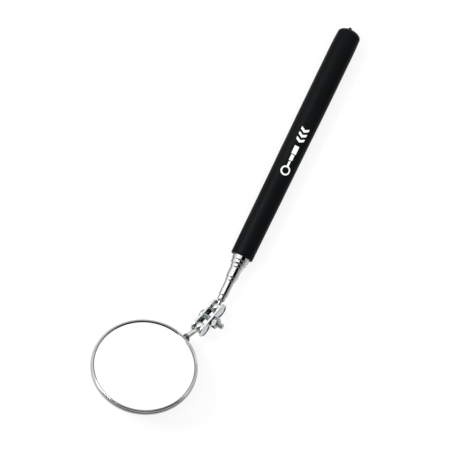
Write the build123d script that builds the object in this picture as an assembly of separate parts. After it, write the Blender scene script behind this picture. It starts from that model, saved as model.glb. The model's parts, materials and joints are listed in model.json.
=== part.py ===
from build123d import *
import os
from math import asin, cos, radians, sin, sqrt

# Telescoping inspection mirror. Millimetres and degrees. +X runs along the handle from its closed
# butt towards the mirror, +Z is up when the tool lies on a bench, and the origin is on the handle's
# centre line, in the middle of the grip's straight band. Pieces on the handle are first laid out by
# their distance from the butt, and moved to that origin when they are written.

# ---- driving dimensions ----
# grip, a soft sleeve with a closed end
grip_length = 138.0
grip_band_start = 14.0
grip_band_length = 30.0
grip_band_wall = 2.0
grip_mouth_wall = 1.5
grip_mouth_edge = 0.5
grip_butt_wall = 3.0
butt_dome_depth = 3.6
butt_shoulder_drop = 0.3
nub_radius = 1.2
nub_height = 1.2
nub_offset = 1.0
nub_turn = 198.0

# telescoping tubes: how far each stands out of the one before, and how far its tail lies in front
tube_wall = 0.3
handle_tube_od = 9.5
handle_tube_reach = 4.8
stage_reaches = [2.2, 8.0, 11.2]
stage_tail_gaps = [1.0, 1.5, 1.5]
mouth_length = 2.0
mouth_taper = 0.6
nose_length = 2.6
plug_length = 4.0
plug_chamfer = 0.5

# friction shims: brass half shells held between two beads at the tail of each sliding tube
shim_thickness = 0.39
shim_length = 12.0
shim_split = 0.5
bead_length = 0.8
bead_height = 0.2
bead_chamfer = 0.15

# ball studs and clamp
ball_diameter = 6.0
ball_spacing = 14.2
neck_diameter = 2.4
rod_shank_length = 8.0
rod_shoulder_length = 0.65
nose_draw = 0.35
tilt_limit = 14.0
plate_gap = 4.5
plate_thickness = 1.2
plate_rim = 0.32
plate_waist_width = 6.6
plate_edge_radius = 0.3
screw_diameter = 3.0
screw_clearance = 0.15
screw_head_diameter = 5.6
screw_head_height = 1.7
screw_head_edge = 0.8
screw_slot_width = 0.8
screw_slot_depth = 0.9
screw_free_thread = 3.4
screw_tip_chamfer = 0.4
nut_width = 5.5
nut_thickness = 2.4
nut_chamfer = 0.35
washer_outer_diameter = 5.4
washer_thickness = 0.8
washer_split = 0.5

# mirror stem, case and glass
stem_reach = 10.2
stem_neck_length = 3.6
stem_root_diameter = 2.8
stem_pivot_diameter = 1.8
case_diameter = 57.2
case_wall = 0.5
lip_width = 1.9
lip_height = 0.8
lip_corner = 0.8
case_back_corner = 0.9
glass_thickness = 1.2
glass_edge_bevel = 0.2
backing_thickness = 0.6
collar_diameter = 3.6
collar_length = 1.6
tongue_width = 4.0
tongue_length = 11.0
tongue_thickness = 0.8
rivet_pitch = 4.5
rivet_inset = 4.6
rivet_diameter = 1.8
rivet_head_diameter = 3.2
rivet_head_height = 0.5

# named clearances
running_gap = 0.03
seat_gap = 0.03
press_gap = 0.01
thread_gap = 0.03
shim_end_gap = 0.05
stop_gap = 0.5
glass_gap = 0.15
lip_gap = 0.02
rivet_room = 0.25
nose_gap = 0.33

# pose of the joints at rest
rod_cant = 10.0
clamp_roll = 32.3
clamp_bend = -15.5
stem_bend = -7.2
stem_cant = -10.2
mirror_turn = 81.0

# ---- places along the handle, from the butt ----
origin_from_butt = grip_band_start + grip_band_length / 2
handle_tube_radius = handle_tube_od / 2
grip_band_radius = handle_tube_radius + grip_band_wall
grip_mouth_radius = handle_tube_radius + grip_mouth_wall
handle_tube_end = grip_length + handle_tube_reach

radii = [handle_tube_radius]
for reach in stage_reaches:
    radii.append(radii[-1] - tube_wall - running_gap - shim_thickness - running_gap)
rod_shank_radius = radii[3] - tube_wall - nose_draw
ends = [handle_tube_end]
for reach in stage_reaches:
    ends.append(ends[-1] + reach)
tails = [grip_butt_wall]
for gap in stage_tail_gaps:
    tails.append(tails[-1] + gap)
tails[1:] = [tail + plug_length for tail in tails[1:]]
mouth_bores = [radius + running_gap for radius in radii[1:]] + [rod_shank_radius + press_gap]
mouth_lengths = [mouth_length, mouth_length, mouth_length, nose_length]
shim_starts = [tail + bead_length + shim_end_gap for tail in tails]
bead_starts = [start + shim_length + shim_end_gap for start in shim_starts]
travels = []
for stage in (1, 2, 3):
    shoulder = ends[stage - 1] - mouth_lengths[stage - 1] - mouth_taper
    travels.append(shoulder - bead_starts[stage] - bead_length - stop_gap)

# ---- sizes around the balls ----
ball_radius = ball_diameter / 2
plate_inner = plate_gap / 2
plate_outer = plate_inner + plate_thickness
dome_radius = ball_radius + seat_gap + plate_thickness
plate_end_radius = sqrt(dome_radius**2 - plate_inner**2) + plate_rim
nose_radius = mouth_bores[3] + tube_wall
nose_swing = nose_radius * sin(radians(tilt_limit))
rod_reach = (plate_end_radius + nose_gap + nose_swing) / cos(radians(tilt_limit))

# ---- directions and places of the two ball joints ----
handle_axis = Vector(1, 0, 0)
cant = radians(rod_cant)
roll = radians(clamp_roll)
screw_axis = Vector(sin(cant), cos(cant) * cos(roll), cos(cant) * sin(roll))
rod_in_plates = (handle_axis - screw_axis * handle_axis.dot(screw_axis)).normalized()
clamp_axis = rod_in_plates.rotate(Axis((0, 0, 0), screw_axis), clamp_bend)
stem_in_plates = clamp_axis.rotate(Axis((0, 0, 0), screw_axis), stem_bend)
stem_axis = stem_in_plates * cos(radians(stem_cant)) + screw_axis * sin(radians(stem_cant))
turn_start = (screw_axis - stem_axis * screw_axis.dot(stem_axis)).normalized()
mirror_normal = turn_start.rotate(Axis((0, 0, 0), stem_axis), mirror_turn)

case_radius = case_diameter / 2
rod_ball_centre = Vector(ends[3] + rod_reach, 0, 0)
mirror_ball_centre = rod_ball_centre + clamp_axis * ball_spacing
clamp_centre = (rod_ball_centre + mirror_ball_centre) * 0.5
mirror_centre = mirror_ball_centre + stem_axis * (stem_reach + case_radius)
clamp_frame = Plane(origin=clamp_centre, x_dir=clamp_axis, z_dir=screw_axis)
stem_frame = Plane(origin=mirror_ball_centre, x_dir=stem_axis, z_dir=mirror_normal)
mirror_frame = Plane(origin=mirror_centre, x_dir=stem_axis, z_dir=mirror_normal)

# ---- heights in the clamp, along the screw from midway between the plates ----
nut_start = plate_outer + washer_thickness
nut_end = nut_start + nut_thickness
screw_tip = nut_end + screw_free_thread

# ---- heights in the mirror case, along its normal from the stem's axis ----
case_depth = case_wall + backing_thickness + glass_thickness + lip_height
case_back = -case_depth / 2
case_front = case_depth / 2
case_floor = case_back + case_wall
glass_back = case_floor + backing_thickness
glass_front = glass_back + glass_thickness
glass_radius = case_radius - case_wall - glass_gap


def turned(points, axis=Axis.X):
    """A solid of revolution: the closed outline through the points, turned about the axis."""
    plane = Plane.XY if axis is Axis.X else Plane.XZ
    return revolve(plane * make_face(Polyline(*points, close=True)), axis, 360)


def turned_from_ball(ball_x, way, points):
    """A turned stud on the X axis. Its outline starts as the arc of its seat on the ball at ball_x,
    from the axis out to the neck, goes on through the points, and closes. way is +1 or -1 along X."""
    seat = ball_radius + seat_gap
    edge = asin(neck_diameter / 2 / seat)
    arc = [(ball_x + way * seat * cos(a), seat * sin(a)) for a in (0, edge / 2, edge)]
    outline = ThreePointArc(*arc) + Polyline(arc[-1], *points, arc[0])
    return revolve(make_face(outline.edges()), Axis.X, 360)


# ---- handle ----
def grip_sleeve():
    """Dipped sleeve: a butt domed as half an ellipse, straight band, slow taper and open mouth."""
    bore = handle_tube_radius + press_gap
    band_end = grip_band_start + grip_band_length
    shoulder_radius = grip_band_radius - butt_shoulder_drop
    outline = EllipticalCenterArc(
        (butt_dome_depth, 0), butt_dome_depth, shoulder_radius, start_angle=90, arc_size=90
    )
    outline += Line((butt_dome_depth, shoulder_radius), (grip_band_start, grip_band_radius))
    outline += Line((grip_band_start, grip_band_radius), (band_end, grip_band_radius))
    outline += Line((band_end, grip_band_radius), (grip_length - grip_mouth_edge, grip_mouth_radius))
    outline += Line(
        (grip_length - grip_mouth_edge, grip_mouth_radius),
        (grip_length, grip_mouth_radius - grip_mouth_edge),
    )
    outline += Polyline(
        (grip_length, grip_mouth_radius - grip_mouth_edge),
        (grip_length, bore),
        (grip_butt_wall, bore),
        (grip_butt_wall, 0),
        (0, 0),
    )
    sleeve = revolve(make_face(outline.edges()), Axis.X, 360)
    turn = radians(nub_turn)
    nub_y = nub_offset * cos(turn)
    nub_z = nub_offset * sin(turn)
    base = grip_butt_wall / 2
    stalk = Pos(base / 2 - (nub_height - nub_radius) / 2, nub_y, nub_z) * Rot(0, 90, 0)
    stalk *= Cylinder(nub_radius, base + nub_height - nub_radius)
    return sleeve + stalk + Pos(nub_radius - nub_height, nub_y, nub_z) * Sphere(nub_radius)


def tube(step):
    """A thin tube drawn down at its front end to a mouth that guides the next, smaller tube.
    The sliding tubes also have two beads at the tail, which hold the friction shims."""
    outer = radii[step]
    inner = outer - tube_wall
    mouth_inner = mouth_bores[step]
    mouth_outer = mouth_inner + tube_wall
    mouth_start = ends[step] - mouth_lengths[step]
    taper_start = mouth_start - mouth_taper
    beads = []
    for start in (tails[step], bead_starts[step]) if step else ():
        beads += [
            (start, outer),
            (start + bead_chamfer, outer + bead_height),
            (start + bead_length - bead_chamfer, outer + bead_height),
            (start + bead_length, outer),
        ]
    tail = [] if step else [(tails[step], outer)]
    return turned(
        tail
        + beads
        + [
            (taper_start, outer),
            (mouth_start, mouth_outer),
            (ends[step], mouth_outer),
            (ends[step], mouth_inner),
            (mouth_start, mouth_inner),
            (taper_start, inner),
            (tails[step], inner),
        ]
    )


def handle_end_plug():
    """Turned plug pressed into the tail of the handle tube."""
    start = tails[0]
    end = start + plug_length
    radius = radii[0] - tube_wall - press_gap
    return turned(
        [
            (start, 0),
            (start, radius),
            (end - plug_chamfer, radius),
            (end, radius - plug_chamfer),
            (end, 0),
        ]
    )


def shim(step, side):
    """One brass half shell between a sliding tube and the bore that it slides in."""
    inner = radii[step] + running_gap
    outer = radii[step - 1] - tube_wall - running_gap
    start = shim_starts[step]
    ring = turned(
        [
            (start, inner),
            (start, outer),
            (start + shim_length, outer),
            (start + shim_length, inner),
        ]
    )
    keep = Box(shim_length * 2, outer * 3, outer * 2)
    middle = start + shim_length / 2
    return ring & Pos(middle, 0, side * (outer + shim_split / 2)) * keep


# ---- rod stud and balls ----
def rod_stud():
    """Stud gripped in the nose of the smallest tube, necked down to the ball that it carries."""
    nose = ends[3]
    shank_start = nose - rod_shank_length
    shank = rod_shank_radius
    neck = neck_diameter / 2
    points = [(nose + rod_shoulder_length, neck), (nose, shank), (shank_start, shank), (shank_start, 0)]
    return turned_from_ball(rod_ball_centre.X, -1, points)


def ball(centre):
    return Pos(*centre) * Sphere(ball_radius)


# ---- clamp, drawn about the point midway between the balls, X to the mirror, Z along the screw ----
def plate_outline():
    """Two round ends joined by a waist whose sides are arcs tangent to the ends."""
    half = ball_spacing / 2
    waist = plate_waist_width / 2
    end = plate_end_radius
    arc = (half**2 + waist**2 - end**2) / (2 * (end - waist))
    touch_x = half - end * half / (end + arc)
    touch_y = end * (waist + arc) / (end + arc)
    web = ThreePointArc((-touch_x, touch_y), (0, waist), (touch_x, touch_y))
    web += Line((touch_x, touch_y), (touch_x, -touch_y))
    web += ThreePointArc((touch_x, -touch_y), (0, -waist), (-touch_x, -touch_y))
    web += Line((-touch_x, -touch_y), (-touch_x, touch_y))
    ends_of_plate = Pos(half, 0) * Circle(end) + Pos(-half, 0) * Circle(end)
    return make_face(web.edges()) + ends_of_plate


def clamp_plate(side):
    """Pressed plate, flat inside, with a domed seat for each ball. side is +1 at the nut."""
    plate = Pos(0, 0, plate_inner) * extrude(plate_outline(), plate_thickness)
    plate = fillet(plate.edges().group_by(Axis.Z)[-1], plate_edge_radius)
    above = Pos(0, 0, plate_inner + dome_radius) * Box(ball_spacing * 2, ball_spacing, dome_radius * 2)
    for x in (-ball_spacing / 2, ball_spacing / 2):
        plate += Pos(x, 0, 0) * Sphere(dome_radius) & above
    for x in (-ball_spacing / 2, ball_spacing / 2):
        plate -= Pos(x, 0, 0) * Sphere(ball_radius + seat_gap)
    plate -= Cylinder(screw_diameter / 2 + screw_clearance, plate_outer * 4)
    if side < 0:
        plate = mirror(plate, Plane.XY)
    return clamp_frame * plate


def clamp_screw():
    """Pan head screw with a straight slot. Its thread is a plain shank of the thread's diameter."""
    radius = screw_diameter / 2
    head = screw_head_diameter / 2
    under = -plate_outer
    top = under - screw_head_height
    body = turned(
        [
            (0, top),
            (head - screw_head_edge, top),
            (head, top + screw_head_edge),
            (head, under),
            (radius, under),
            (radius, screw_tip - screw_tip_chamfer),
            (radius - screw_tip_chamfer, screw_tip),
            (0, screw_tip),
        ],
        Axis.Z,
    )
    slot = Pos(0, 0, top) * Box(screw_head_diameter * 2, screw_slot_width, screw_slot_depth * 2)
    return clamp_frame * (body - slot)


def lock_washer():
    """Split ring between the plate and the nut."""
    ring = Cylinder(washer_outer_diameter / 2, washer_thickness)
    ring -= Cylinder(screw_diameter / 2 + screw_clearance, washer_thickness * 2)
    ring -= Pos(washer_outer_diameter / 2, 0, 0) * Box(
        washer_outer_diameter, washer_split, washer_thickness * 2
    )
    return clamp_frame * Pos(0, 0, plate_outer + washer_thickness / 2) * ring


def clamp_nut():
    """Hexagon nut with turned corners."""
    corner = nut_width / sqrt(3)
    middle = (nut_start + nut_end) / 2
    half = nut_thickness / 2
    prism = Pos(0, 0, -half) * extrude(RegularPolygon(corner, 6), nut_thickness)
    turned_corners = turned(
        [
            (0, -half),
            (corner - nut_chamfer, -half),
            (corner, nut_chamfer / 2 - half),
            (corner, half - nut_chamfer / 2),
            (corner - nut_chamfer, half),
            (0, half),
        ],
        Axis.Z,
    )
    nut = (prism & turned_corners) - Cylinder(screw_diameter / 2 + thread_gap, nut_thickness * 2)
    return clamp_frame * Pos(0, 0, middle) * nut


# ---- mirror, its stem drawn from the ball's centre and its case from the case's centre ----
def mirror_stem():
    """Tapered stem from the ball to the case, with a pivot that turns in the bracket's collar."""
    neck = neck_diameter / 2
    root = stem_root_diameter / 2
    pivot = stem_pivot_diameter / 2
    root_end = stem_reach - collar_length - running_gap
    pivot_end = stem_reach + case_wall
    points = [(stem_neck_length, neck), (root_end, root), (root_end, pivot)]
    points += [(pivot_end, pivot), (pivot_end, 0)]
    return stem_frame * turned_from_ball(0, 1, points)


def mirror_case():
    """Pressed steel case: flat back, plain wall and a rounded lip rolled in over the glass."""
    inner_corner = lip_corner - case_wall
    lip_base = case_front - lip_corner
    crown_out = case_radius - lip_corner
    crown_in = case_radius - lip_width + lip_corner
    lip_edge = glass_front + lip_gap
    outer_wall = case_radius - case_wall
    back_edge = case_radius - case_back_corner
    bend = sin(radians(45))
    outline = Line((0, case_back), (back_edge, case_back))
    outline += ThreePointArc(
        (back_edge, case_back),
        (back_edge + case_back_corner * bend, case_back + case_back_corner * (1 - bend)),
        (case_radius, case_back + case_back_corner),
    )
    outline += Line((case_radius, case_back + case_back_corner), (case_radius, lip_base))
    outline += ThreePointArc(
        (case_radius, lip_base),
        (crown_out + lip_corner * bend, lip_base + lip_corner * bend),
        (crown_out, case_front),
    )
    outline += Line((crown_out, case_front), (crown_in, case_front))
    outline += ThreePointArc(
        (crown_in, case_front),
        (crown_in - lip_corner * bend, lip_base + lip_corner * bend),
        (case_radius - lip_width, lip_base),
    )
    outline += Polyline(
        (case_radius - lip_width, lip_base),
        (case_radius - lip_width, lip_edge),
        (case_radius - lip_width + case_wall, lip_edge),
    )
    outline += ThreePointArc(
        (case_radius - lip_width + case_wall, lip_edge),
        (crown_in - inner_corner * bend, lip_edge + inner_corner * bend),
        (crown_in, lip_edge + inner_corner),
    )
    outline += Line((crown_in, lip_edge + inner_corner), (crown_out, lip_edge + inner_corner))
    outline += ThreePointArc(
        (crown_out, lip_edge + inner_corner),
        (crown_out + inner_corner * bend, lip_edge + inner_corner * bend),
        (outer_wall, lip_edge),
    )
    outline += Polyline((outer_wall, lip_edge), (outer_wall, case_floor), (0, case_floor), (0, case_back))
    case = revolve(Plane.XZ * make_face(outline.edges()), Axis.Z, 360)
    case -= Pos(-case_radius, 0, 0) * Rot(0, 90, 0) * Cylinder(
        stem_pivot_diameter / 2 + running_gap, case_wall * 4
    )
    for x in rivet_places():
        case -= Pos(x, 0, case_back) * Cylinder(rivet_diameter / 2 + press_gap, case_wall * 4)
    return mirror_frame * case


def rivet_places():
    """The rivets' distances from the case's centre, along the stem."""
    first = rivet_inset - case_radius
    return [first, first + rivet_pitch]


def mirror_glass():
    bevel = glass_edge_bevel
    return mirror_frame * turned(
        [
            (0, glass_back),
            (glass_radius, glass_back),
            (glass_radius, glass_front - bevel),
            (glass_radius - bevel, glass_front),
            (0, glass_front),
        ],
        Axis.Z,
    )


def backing_disc():
    """Card disc behind the glass, with holes for the rivet heads."""
    disc = Pos(0, 0, (case_floor + glass_back) / 2) * Cylinder(glass_radius, backing_thickness)
    for x in rivet_places():
        disc -= Pos(x, 0, glass_back) * Cylinder(
            rivet_head_diameter / 2 + rivet_room, backing_thickness * 4
        )
    return mirror_frame * disc


def stem_bracket():
    """Collar against the case's wall, on a tongue that is riveted under the case."""
    wall = case_radius + press_gap
    collar_start = -case_radius - collar_length
    collar = Pos(-case_radius - collar_length / 2 + case_wall, 0, 0) * Rot(0, 90, 0)
    collar *= Cylinder(collar_diameter / 2, collar_length + case_wall * 2)
    tongue_top = case_back - press_gap
    tongue_bottom = tongue_top - tongue_thickness
    heel = Pos(collar_start + collar_length / 2, 0, tongue_bottom / 2) * Box(
        collar_length, collar_diameter, -tongue_bottom
    )
    tongue_middle = collar_start + tongue_length / 2
    tongue = Pos(tongue_middle, 0, (tongue_top + tongue_bottom) / 2) * Box(
        tongue_length, tongue_width, tongue_thickness
    )
    bracket = collar + heel + tongue
    bracket -= Pos(0, 0, (tongue_top + case_depth) / 2) * Cylinder(wall, case_depth - tongue_top)
    bracket -= Pos(-case_radius, 0, 0) * Rot(0, 90, 0) * Cylinder(
        stem_pivot_diameter / 2 + running_gap, collar_length * 4
    )
    for x in rivet_places():
        bracket -= Pos(x, 0, tongue_bottom) * Cylinder(
            rivet_diameter / 2 + press_gap, tongue_thickness * 4
        )
    return mirror_frame * bracket


def bracket_rivets():
    """Two rivets through the tongue and the case's back: flat heads inside, round heads outside."""
    shank = rivet_diameter / 2
    head = rivet_head_diameter / 2
    inside = case_floor + press_gap
    outside = case_back - 2 * press_gap - tongue_thickness
    rivets = []
    for x in rivet_places():
        rivet = turned(
            [
                (0, inside + rivet_head_height),
                (head, inside + rivet_head_height),
                (head, inside),
                (shank, inside),
                (shank, outside),
                (head, outside),
                (head - rivet_head_height, outside - rivet_head_height),
                (0, outside - rivet_head_height),
            ],
            Axis.Z,
        )
        rivets.append(mirror_frame * Pos(x, 0, 0) * rivet)
    return Compound(children=rivets)


pieces = {
    "grip_sleeve": grip_sleeve(),
    "handle_tube": tube(0),
    "handle_end_plug": handle_end_plug(),
    "first_stage_tube": tube(1),
    "second_stage_tube": tube(2),
    "third_stage_tube": tube(3),
    "rod_stud": rod_stud(),
    "rod_ball": ball(rod_ball_centre),
    "clamp_plate_head_side": clamp_plate(-1),
    "clamp_plate_nut_side": clamp_plate(1),
    "clamp_screw": clamp_screw(),
    "lock_washer": lock_washer(),
    "clamp_nut": clamp_nut(),
    "mirror_ball": ball(mirror_ball_centre),
    "mirror_stem": mirror_stem(),
    "mirror_case": mirror_case(),
    "mirror_glass": mirror_glass(),
    "backing_disc": backing_disc(),
    "stem_bracket": stem_bracket(),
    "bracket_rivets": bracket_rivets(),
}
for number, name in enumerate(("first", "second", "third"), start=1):
    pieces[f"{name}_stage_shim_upper"] = shim(number, 1)
    pieces[f"{name}_stage_shim_lower"] = shim(number, -1)

to_origin = Pos(-origin_from_butt, 0, 0)
os.makedirs("parts", exist_ok=True)
for name, piece in pieces.items():
    export_step(to_origin * piece, f"parts/{name}.step")

shift = Vector(-origin_from_butt, 0, 0)
print("slide travels", [round(travel, 2) for travel in travels])
print("band radius", grip_band_radius, "glass front", round(glass_front, 3))
print("screw tip", round(screw_tip, 3), "free thread", screw_free_thread)
for label, vector in (
    ("screw axis", screw_axis),
    ("clamp axis", clamp_axis),
    ("stem axis", stem_axis),
    ("mirror normal", mirror_normal),
    ("rod ball", rod_ball_centre + shift),
    ("mirror ball", mirror_ball_centre + shift),
    ("clamp centre", clamp_centre + shift),
    ("mirror centre", mirror_centre + shift),
    ("rod tilt axis", screw_axis.cross(handle_axis).normalized()),
    ("stem tilt axis", stem_axis.cross(screw_axis).normalized()),
):
    print(label, [round(value, 5) for value in vector])
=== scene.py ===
# %% [markdown]
# # A telescoping inspection mirror
# This lesson dresses a finished mechanical model. The frame holds every piece where it belongs, in
# metres, with its joints and mounts, and nothing in it is moved. Each visible piece is drawn again
# here as a smooth surface worked out with numpy, in the same place.

# %% Load the frame
import json
from math import cos, radians, sin

import bmesh
import bpy
import numpy as np
from mathutils import Matrix, Vector


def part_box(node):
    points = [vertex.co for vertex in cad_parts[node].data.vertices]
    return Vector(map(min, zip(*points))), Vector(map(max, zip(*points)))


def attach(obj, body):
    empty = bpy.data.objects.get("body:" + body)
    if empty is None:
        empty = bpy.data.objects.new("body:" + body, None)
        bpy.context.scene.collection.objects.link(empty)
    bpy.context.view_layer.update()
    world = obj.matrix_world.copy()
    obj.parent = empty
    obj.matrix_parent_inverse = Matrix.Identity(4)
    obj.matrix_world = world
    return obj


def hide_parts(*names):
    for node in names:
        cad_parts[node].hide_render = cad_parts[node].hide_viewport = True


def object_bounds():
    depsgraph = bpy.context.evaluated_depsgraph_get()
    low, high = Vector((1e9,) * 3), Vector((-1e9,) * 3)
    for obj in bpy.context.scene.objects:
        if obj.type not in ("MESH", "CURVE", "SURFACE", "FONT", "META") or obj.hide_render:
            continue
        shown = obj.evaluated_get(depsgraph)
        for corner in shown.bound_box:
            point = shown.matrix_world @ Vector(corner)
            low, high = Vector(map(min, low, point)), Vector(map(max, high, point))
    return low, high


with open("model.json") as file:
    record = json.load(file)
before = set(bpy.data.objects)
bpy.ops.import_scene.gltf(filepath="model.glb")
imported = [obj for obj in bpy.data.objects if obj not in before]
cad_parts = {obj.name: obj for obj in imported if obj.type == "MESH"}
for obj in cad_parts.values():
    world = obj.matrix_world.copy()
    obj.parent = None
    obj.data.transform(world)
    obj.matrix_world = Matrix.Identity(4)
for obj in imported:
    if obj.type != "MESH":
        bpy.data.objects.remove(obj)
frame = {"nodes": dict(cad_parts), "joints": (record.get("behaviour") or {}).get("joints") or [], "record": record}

cad_low, cad_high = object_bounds()

# %% [markdown]
# The joints say where the two balls are and how the screw and the stem lie, and the mount on the
# glass says which way the mirror faces. Reading them from the frame keeps the new surfaces on the
# pieces that they stand for. Five sets of axes are enough for the whole tool: the handle, the ball
# at its end, the clamp, the stem and the mirror case.

# %% Places and directions from the frame
MM = 0.001


def named(entries, name):
    """The joint or mount of that name, as the frame's record has it."""
    return next(entry for entry in entries if entry["name"] == name)


def unit(vector):
    """The vector at length one."""
    return np.asarray(vector, float) / np.linalg.norm(vector)


def added(name, data):
    """A new object in the scene for a mesh, a camera or a light."""
    thing = bpy.data.objects.new(name, data)
    bpy.context.scene.collection.objects.link(thing)
    return thing


class Axes:
    """A set of axes: an origin, one direction along, one up, and the third square to both."""

    def __init__(self, origin, along, up):
        self.origin = np.asarray(origin, float)
        self.along = unit(along)
        self.up = unit(up)
        self.side = np.cross(self.up, self.along)

    def place(self, points):
        """Points given as along, side and up, moved to where they lie in the frame."""
        return self.origin + points @ np.stack([self.along, self.side, self.up])


joints = frame["joints"]
mounts = frame["record"]["mounts"]
face = named(mounts, "mirror_face")
rod_ball_at = np.array(named(joints, "clamp_swing")["pos_m"])
mirror_ball_at = np.array(named(joints, "stem_swing")["pos_m"])
screw_direction = unit(named(joints, "clamp_swing")["axis"])
stem_direction = unit(named(joints, "mirror_turn")["axis"])
glass_normal = unit(face["axis"])
case_reach = (np.array(face["pos_m"]) - mirror_ball_at) @ stem_direction

handle = Axes((0, 0, 0), (1, 0, 0), (0, 0, 1))
rod = Axes(rod_ball_at, (1, 0, 0), (0, 0, 1))
clamp = Axes((rod_ball_at + mirror_ball_at) / 2, mirror_ball_at - rod_ball_at, screw_direction)
stem = Axes(mirror_ball_at, stem_direction, glass_normal)
case = Axes(mirror_ball_at + stem_direction * case_reach, stem_direction, glass_normal)
ball_spacing = np.linalg.norm(mirror_ball_at - rod_ball_at)
print("balls", round(ball_spacing / MM, 2), "mm apart, case centre", case.origin.round(4))

# %% [markdown]
# The camera looks down on the tool from a few metres away through a long lens, so that the handle
# barely tapers. Three angles set the view: how far the handle leans from upright in the picture,
# how far its butt lies back, and how far the tool is rolled about the handle. The picture's centre
# is given as a step from the ball at the end of the rod.

# %% Camera
handle_lean = radians(25.94)
handle_recede = radians(9.8)
handle_roll = radians(-10.0)
picture_width = 0.24075
camera_distance = 3.0
step_right = 4.55 * MM
step_up = 44.67 * MM

flat_share = cos(handle_recede)
handle_seen = np.array(
    [-sin(handle_lean) * flat_share, -cos(handle_lean) * flat_share, sin(handle_recede)]
)
across_seen = unit(np.cross((0, 0, 1), handle_seen))
over_seen = np.cross(handle_seen, across_seen)
y_seen = across_seen * cos(handle_roll) + over_seen * sin(handle_roll)
z_seen = np.cross(handle_seen, y_seen)
picture = np.stack([handle_seen, y_seen, z_seen], axis=1)
camera_right, camera_up, camera_back = picture

aim = rod_ball_at + camera_right * step_right + camera_up * step_up
camera_data = bpy.data.cameras.new("camera")
camera_data.sensor_width = 36.0
camera_data.lens = camera_data.sensor_width * camera_distance / picture_width
camera_data.clip_end = 20.0
camera = added("camera", camera_data)
turn = Matrix(picture.T.tolist()).to_4x4()
camera.matrix_world = Matrix.Translation(Vector(aim + camera_back * camera_distance)) @ turn
bpy.context.scene.camera = camera
print("camera looks along", (-camera_back).round(3), "lens", round(camera_data.lens), "mm")

# %% [markdown]
# Every new surface starts as a grid of points. A grid cell becomes a face, and a grid can close on
# itself around, along, or both. Where a row shrinks to one point, as at the pole of a dome, the
# doubled points are merged, so the mesh has no seam and no hole. Another helper puts a finished
# piece in the place of the node that it stands for.

# %% From a grid of points to a mesh
CREASE = radians(38)
MERGE = 1e-7
TINY = 1e-8


def surface(name, grid, around=True, along=False):
    """A mesh object from points in rows and columns. around joins the last column to the first,
    along the last row to the first. Doubles are merged and faces are turned outward."""
    rows, columns = grid.shape[:2]
    index = np.arange(rows * columns).reshape(rows, columns)
    if around:
        index = np.concatenate([index, index[:, :1]], axis=1)
    if along:
        index = np.concatenate([index, index[:1]], axis=0)
    cells = [index[:-1, :-1], index[1:, :-1], index[1:, 1:], index[:-1, 1:]]
    faces = np.stack(cells, axis=-1).reshape(-1, 4)
    mesh = bpy.data.meshes.new(name)
    mesh.from_pydata(grid.reshape(-1, 3).tolist(), [], faces.tolist())
    return finished(name, mesh)


def finished(name, mesh):
    """Merges a mesh's doubled points, turns its faces outward and shades it smooth to a crease."""
    work = bmesh.new()
    work.from_mesh(mesh)
    bmesh.ops.remove_doubles(work, verts=work.verts, dist=MERGE)
    bmesh.ops.dissolve_degenerate(work, edges=work.edges, dist=TINY)
    bmesh.ops.recalc_face_normals(work, faces=work.faces)
    open_edges = sum(1 for edge in work.edges if not edge.is_manifold)
    work.to_mesh(mesh)
    work.free()
    mesh.shade_smooth()
    mesh.set_sharp_from_angle(angle=CREASE)
    print(f"{name}: {len(mesh.polygons)} faces, {open_edges} open edges")
    return added(name, mesh)


def joined(name, pieces):
    """One object from several: their meshes are put together, and each stays a closed shell."""
    work = bmesh.new()
    for piece in pieces:
        work.from_mesh(piece.data)
        bpy.data.objects.remove(piece)
    mesh = bpy.data.meshes.new(name)
    work.to_mesh(mesh)
    work.free()
    return finished(name, mesh)


def capped(loops):
    """The loops with one more at each end, drawn together to the middle of the last."""
    ends = loops[[0, -1]].mean(axis=1, keepdims=True)
    first, last = np.repeat(ends, loops.shape[1], axis=1)
    return np.concatenate([[first], loops, [last]])


def stand_for(piece, node, body):
    """Puts a piece in a node's place: it hides the node and rides on its body."""
    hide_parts(node)
    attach(piece, body)
    return piece


print("an edge that turns by more than", round(np.degrees(CREASE)), "degrees stays sharp")

# %% [markdown]
# Turned and drawn parts are outlines carried round an axis. Real edges are never knife sharp, so
# corners are rounded before the outline is turned. Each round is an exact circular arc, written as
# a rational curve, because that form takes all corners of an outline at once as one array.

# %% Rounded outlines and turned shapes
TURNS = 192
GUARD = 1.3


def rounded(corners, radii, steps=7):
    """The outline through the corners, each replaced by an arc of its radius that touches both of
    its sides. A point of an arc is the weighted mean of its start, its corner and its end, with
    weights (1-t)^2, 2t(1-t)cos(half the turn) and t^2. A guard point before and after each arc
    keeps the shading of the flat beside it even."""
    corners = np.asarray(corners, float)
    radii = np.broadcast_to(np.asarray(radii, float), len(corners))
    back = np.roll(corners, 1, axis=0) - corners
    ahead = np.roll(corners, -1, axis=0) - corners
    back_length = np.linalg.norm(back, axis=1, keepdims=True)
    ahead_length = np.linalg.norm(ahead, axis=1, keepdims=True)
    back, ahead = back / back_length, ahead / ahead_length
    half_turn = (np.pi - np.arccos(np.clip((back * ahead).sum(1), -1, 1))) / 2
    room = 0.49 * np.minimum(back_length, ahead_length)[:, 0]
    reach = np.minimum(radii * np.tan(half_turn), room / GUARD)[:, None]
    start, end = corners + back * reach, corners + ahead * reach
    t = np.linspace(0, 1, steps)[None, :, None]
    middle = 2 * t * (1 - t) * np.cos(half_turn)[:, None, None]
    weight = np.stack(np.broadcast_arrays((1 - t) ** 2, middle, t**2))
    arcs = (weight * np.stack([start, corners, end])[:, :, None]).sum(0) / weight.sum(0)
    first = corners + back * reach * GUARD
    last = corners + ahead * reach * GUARD
    return np.concatenate([first[:, None], arcs, last[:, None]], axis=1).reshape(-1, 2)


def open_rounded(corners, radii, steps=7):
    """The same along an open line: the rounded corners between its two ends, without the ends."""
    return rounded(corners, radii, steps)[steps + 2 : -steps - 2]


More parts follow.
